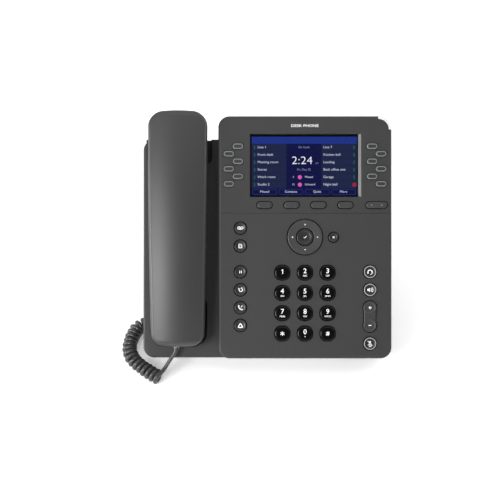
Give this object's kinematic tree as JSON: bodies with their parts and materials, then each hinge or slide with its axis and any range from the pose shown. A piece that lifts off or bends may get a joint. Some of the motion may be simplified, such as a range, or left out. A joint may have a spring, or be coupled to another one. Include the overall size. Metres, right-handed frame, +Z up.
{
  "type": "desk ip phone",
  "caption": "Desk phone on a stand: raised deck with colour display and keys, lower cradle with a handset, curly cord, sockets in a rear pocket.",
  "frame": {"origin": "centre of the object's footprint, on the surface that it stands on", "axes": "+X to the user's right, +Y away from the user, +Z up; the face is tilted 42 degrees from the desk"},
  "size_m": [0.2417, 0.1913, 0.1789],
  "materials": {
    "housing_plastic": "fine texture, dark grey",
    "cover_plastic": "fine texture, near black",
    "handset_plastic": "satin, dark grey",
    "key_plastic": "gloss black with white legends",
    "line_key_plastic": "dark with a translucent edge",
    "light_guide": "translucent white",
    "window": "clear window over the display",
    "board": "green laminate",
    "silicone": "soft",
    "speaker_metal": "satin",
    "screw_steel": "zinc plated",
    "foot_rubber": "matt",
    "cord_jacket": "satin PVC",
    "plug_plastic": "clear moulding"
  },
  "bodies": {
    "base": {"front_housing": "housing_plastic", "rear_cover": "cover_plastic", "stand": "cover_plastic", "display_lens": "window", "message_light": "light_guide", "main_board": "board", "keypad_mat": "silicone", "loudspeaker": "speaker_metal", "case_screws": "screw_steel", "rubber_feet": "foot_rubber", "cord_plug": "plug_plastic", "cord_tails": "cord_jacket", "cord_curl": "cord_jacket"},
    "handset": {"handset_outer_shell": "handset_plastic", "handset_inner_shell": "handset_plastic", "handset_capsules": "speaker_metal"},
    "hook": {"hook_lever": "cover_plastic"},
    "nav_carrier": {"nav_collar": "key_plastic"},
    "nav_key": {"nav_ring": "key_plastic"},
    "ok": {"ok_key": "key_plastic"},
    "page": {"page_rocker": "key_plastic"},
    "volume": {"volume_rocker": "key_plastic"},
    "key_1": {"key_1": "key_plastic"},
    "key_2": {"key_2": "key_plastic"},
    "key_3": {"key_3": "key_plastic"},
    "key_4": {"key_4": "key_plastic"},
    "key_5": {"key_5": "key_plastic"},
    "key_6": {"key_6": "key_plastic"},
    "key_7": {"key_7": "key_plastic"},
    "key_8": {"key_8": "key_plastic"},
    "key_9": {"key_9": "key_plastic"},
    "key_star": {"key_star": "key_plastic"},
    "key_0": {"key_0": "key_plastic"},
    "key_hash": {"key_hash": "key_plastic"},
    "soft_key_1": {"soft_key_1": "key_plastic"},
    "soft_key_2": {"soft_key_2": "key_plastic"},
    "soft_key_3": {"soft_key_3": "key_plastic"},
    "soft_key_4": {"soft_key_4": "key_plastic"},
    "line_key_l1": {"line_key_l1": "line_key_plastic"},
    "line_key_l2": {"line_key_l2": "line_key_plastic"},
    "line_key_l3": {"line_key_l3": "line_key_plastic"},
    "line_key_l4": {"line_key_l4": "line_key_plastic"},
    "line_key_l5": {"line_key_l5": "line_key_plastic"},
    "line_key_l6": {"line_key_l6": "line_key_plastic"},
    "line_key_r1": {"line_key_r1": "line_key_plastic"},
    "line_key_r2": {"line_key_r2": "line_key_plastic"},
    "line_key_r3": {"line_key_r3": "line_key_plastic"},
    "line_key_r4": {"line_key_r4": "line_key_plastic"},
    "line_key_r5": {"line_key_r5": "line_key_plastic"},
    "line_key_r6": {"line_key_r6": "line_key_plastic"},
    "voicemail_key": {"voicemail_key": "key_plastic"},
    "directory_key": {"directory_key": "key_plastic"},
    "hold_key": {"hold_key": "key_plastic"},
    "transfer_key": {"transfer_key": "key_plastic"},
    "redial_key": {"redial_key": "key_plastic"},
    "conference_key": {"conference_key": "key_plastic"},
    "headset_key": {"headset_key": "key_plastic"},
    "speaker_key": {"speaker_key": "key_plastic"},
    "mute_key": {"mute_key": "key_plastic"},
    "cancel_key": {"cancel_key": "key_plastic"}
  },
  "joints": [
    {"name": "handset_lift", "type": "slide", "parent": "base", "child": "handset", "axis": [0, -0.6691, 0.7431], "range_m": [0, 0.12]},
    {"name": "hook_rise", "type": "hinge", "parent": "base", "child": "hook", "pos_m": [-0.079, 0.05881, 0.12575], "axis": [1, 0, 0], "range_deg": [0, 14]},
    {"name": "nav_rock_up_down", "type": "hinge", "parent": "base", "child": "nav_carrier", "pos_m": [0.03368, -0.00514, 0.09111], "axis": [1, 0, 0], "range_deg": [-2, 2], "stiffness_Nm_per_rad": 0.6},
    {"name": "nav_rock_left_right", "type": "hinge", "parent": "nav_carrier", "child": "nav_key", "pos_m": [0.03368, -0.00658, 0.09271], "axis": [0, 0.7431, 0.6691], "range_deg": [-2, 2], "stiffness_Nm_per_rad": 0.6},
    {"name": "ok_press", "type": "slide", "parent": "base", "child": "ok", "axis": [0, 0.6691, -0.7431], "range_m": [0, 0.0012], "stiffness_N_per_m": 400},
    {"name": "volume_rock", "type": "hinge", "parent": "base", "child": "volume", "pos_m": [0.0913, -0.05746, 0.04401], "axis": [1, 0, 0], "range_deg": [-2.5, 2.5], "stiffness_Nm_per_rad": 0.4},
    {"name": "page_rock", "type": "hinge", "parent": "base", "child": "page", "pos_m": [0.09718, 0.01596, 0.11012], "axis": [0, 0.7431, 0.6691], "range_deg": [-2.8, 2.8], "stiffness_Nm_per_rad": 0.15},
    {"name": "mute_key_press", "type": "slide", "parent": "base", "child": "mute_key", "axis": [0, 0.6691, -0.7431], "range_m": [0, 0.0012], "stiffness_N_per_m": 400},
    {"name": "speaker_key_press", "type": "slide", "parent": "base", "child": "speaker_key", "axis": [0, 0.6691, -0.7431], "range_m": [0, 0.0012], "stiffness_N_per_m": 400},
    {"name": "headset_key_press", "type": "slide", "parent": "base", "child": "headset_key", "axis": [0, 0.6691, -0.7431], "range_m": [0, 0.0012], "stiffness_N_per_m": 400},
    {"name": "cancel_key_press", "type": "slide", "parent": "base", "child": "cancel_key", "axis": [0, 0.6691, -0.7431], "range_m": [0, 0.0012], "stiffness_N_per_m": 400},
    {"name": "key_1_press", "type": "slide", "parent": "base", "child": "key_1", "axis": [0, 0.6691, -0.7431], "range_m": [0, 0.0012], "stiffness_N_per_m": 400},
    {"name": "key_2_press", "type": "slide", "parent": "base", "child": "key_2", "axis": [0, 0.6691, -0.7431], "range_m": [0, 0.0012], "stiffness_N_per_m": 400},
    {"name": "key_3_press", "type": "slide", "parent": "base", "child": "key_3", "axis": [0, 0.6691, -0.7431], "range_m": [0, 0.0012], "stiffness_N_per_m": 400},
    {"name": "key_4_press", "type": "slide", "parent": "base", "child": "key_4", "axis": [0, 0.6691, -0.7431], "range_m": [0, 0.0012], "stiffness_N_per_m": 400},
    {"name": "key_5_press", "type": "slide", "parent": "base", "child": "key_5", "axis": [0, 0.6691, -0.7431], "range_m": [0, 0.0012], "stiffness_N_per_m": 400},
    {"name": "key_6_press", "type": "slide", "parent": "base", "child": "key_6", "axis": [0, 0.6691, -0.7431], "range_m": [0, 0.0012], "stiffness_N_per_m": 400},
    {"name": "key_7_press", "type": "slide", "parent": "base", "child": "key_7", "axis": [0, 0.6691, -0.7431], "range_m": [0, 0.0012], "stiffness_N_per_m": 400},
    {"name": "key_8_press", "type": "slide", "parent": "base", "child": "key_8", "axis": [0, 0.6691, -0.7431], "range_m": [0, 0.0012], "stiffness_N_per_m": 400},
    {"name": "key_9_press", "type": "slide", "parent": "base", "child": "key_9", "axis": [0, 0.6691, -0.7431], "range_m": [0, 0.0012], "stiffness_N_per_m": 400},
    {"name": "key_star_press", "type": "slide", "parent": "base", "child": "key_star", "axis": [0, 0.6691, -0.7431], "range_m": [0, 0.0012], "stiffness_N_per_m": 400},
    {"name": "key_0_press", "type": "slide", "parent": "base", "child": "key_0", "axis": [0, 0.6691, -0.7431], "range_m": [0, 0.0012], "stiffness_N_per_m": 400},
    {"name": "key_hash_press", "type": "slide", "parent": "base", "child": "key_hash", "axis": [0, 0.6691, -0.7431], "range_m": [0, 0.0012], "stiffness_N_per_m": 400},
    {"name": "soft_key_1_press", "type": "slide", "parent": "base", "child": "soft_key_1", "axis": [0, 0.6691, -0.7431], "range_m": [0, 0.0012], "stiffness_N_per_m": 400},
    {"name": "soft_key_2_press", "type": "slide", "parent": "base", "child": "soft_key_2", "axis": [0, 0.6691, -0.7431], "range_m": [0, 0.0012], "stiffness_N_per_m": 400},
    {"name": "soft_key_3_press", "type": "slide", "parent": "base", "child": "soft_key_3", "axis": [0, 0.6691, -0.7431], "range_m": [0, 0.0012], "stiffness_N_per_m": 400},
    {"name": "soft_key_4_press", "type": "slide", "parent": "base", "child": "soft_key_4", "axis": [0, 0.6691, -0.7431], "range_m": [0, 0.0012], "stiffness_N_per_m": 400},
    {"name": "voicemail_key_press", "type": "slide", "parent": "base", "child": "voicemail_key", "axis": [0, 0.6691, -0.7431], "range_m": [0, 0.0012], "stiffness_N_per_m": 400},
    {"name": "directory_key_press", "type": "slide", "parent": "base", "child": "directory_key", "axis": [0, 0.6691, -0.7431], "range_m": [0, 0.0012], "stiffness_N_per_m": 400},
    {"name": "hold_key_press", "type": "slide", "parent": "base", "child": "hold_key", "axis": [0, 0.6691, -0.7431], "range_m": [0, 0.0012], "stiffness_N_per_m": 400},
    {"name": "transfer_key_press", "type": "slide", "parent": "base", "child": "transfer_key", "axis": [0, 0.6691, -0.7431], "range_m": [0, 0.0012], "stiffness_N_per_m": 400},
    {"name": "redial_key_press", "type": "slide", "parent": "base", "child": "redial_key", "axis": [0, 0.6691, -0.7431], "range_m": [0, 0.0012], "stiffness_N_per_m": 400},
    {"name": "conference_key_press", "type": "slide", "parent": "base", "child": "conference_key", "axis": [0, 0.6691, -0.7431], "range_m": [0, 0.0012], "stiffness_N_per_m": 400},
    {"name": "line_key_l1_press", "type": "slide", "parent": "base", "child": "line_key_l1", "axis": [0, 0.6691, -0.7431], "range_m": [0, 0.0012], "stiffness_N_per_m": 400},
    {"name": "line_key_l2_press", "type": "slide", "parent": "base", "child": "line_key_l2", "axis": [0, 0.6691, -0.7431], "range_m": [0, 0.0012], "stiffness_N_per_m": 400},
    {"name": "line_key_l3_press", "type": "slide", "parent": "base", "child": "line_key_l3", "axis": [0, 0.6691, -0.7431], "range_m": [0, 0.0012], "stiffness_N_per_m": 400},
    {"name": "line_key_l4_press", "type": "slide", "parent": "base", "child": "line_key_l4", "axis": [0, 0.6691, -0.7431], "range_m": [0, 0.0012], "stiffness_N_per_m": 400},
    {"name": "line_key_l5_press", "type": "slide", "parent": "base", "child": "line_key_l5", "axis": [0, 0.6691, -0.7431], "range_m": [0, 0.0012], "stiffness_N_per_m": 400},
    {"name": "line_key_l6_press", "type": "slide", "parent": "base", "child": "line_key_l6", "axis": [0, 0.6691, -0.7431], "range_m": [0, 0.0012], "stiffness_N_per_m": 400},
    {"name": "line_key_r1_press", "type": "slide", "parent": "base", "child": "line_key_r1", "axis": [0, 0.6691, -0.7431], "range_m": [0, 0.0012], "stiffness_N_per_m": 400},
    {"name": "line_key_r2_press", "type": "slide", "parent": "base", "child": "line_key_r2", "axis": [0, 0.6691, -0.7431], "range_m": [0, 0.0012], "stiffness_N_per_m": 400},
    {"name": "line_key_r3_press", "type": "slide", "parent": "base", "child": "line_key_r3", "axis": [0, 0.6691, -0.7431], "range_m": [0, 0.0012], "stiffness_N_per_m": 400},
    {"name": "line_key_r4_press", "type": "slide", "parent": "base", "child": "line_key_r4", "axis": [0, 0.6691, -0.7431], "range_m": [0, 0.0012], "stiffness_N_per_m": 400},
    {"name": "line_key_r5_press", "type": "slide", "parent": "base", "child": "line_key_r5", "axis": [0, 0.6691, -0.7431], "range_m": [0, 0.0012], "stiffness_N_per_m": 400},
    {"name": "line_key_r6_press", "type": "slide", "parent": "base", "child": "line_key_r6", "axis": [0, 0.6691, -0.7431], "range_m": [0, 0.0012], "stiffness_N_per_m": 400}
  ],
  "couplings": [
    {"joint": "hook_rise", "follows": "handset_lift", "rad_per_m": 2}
  ]
}
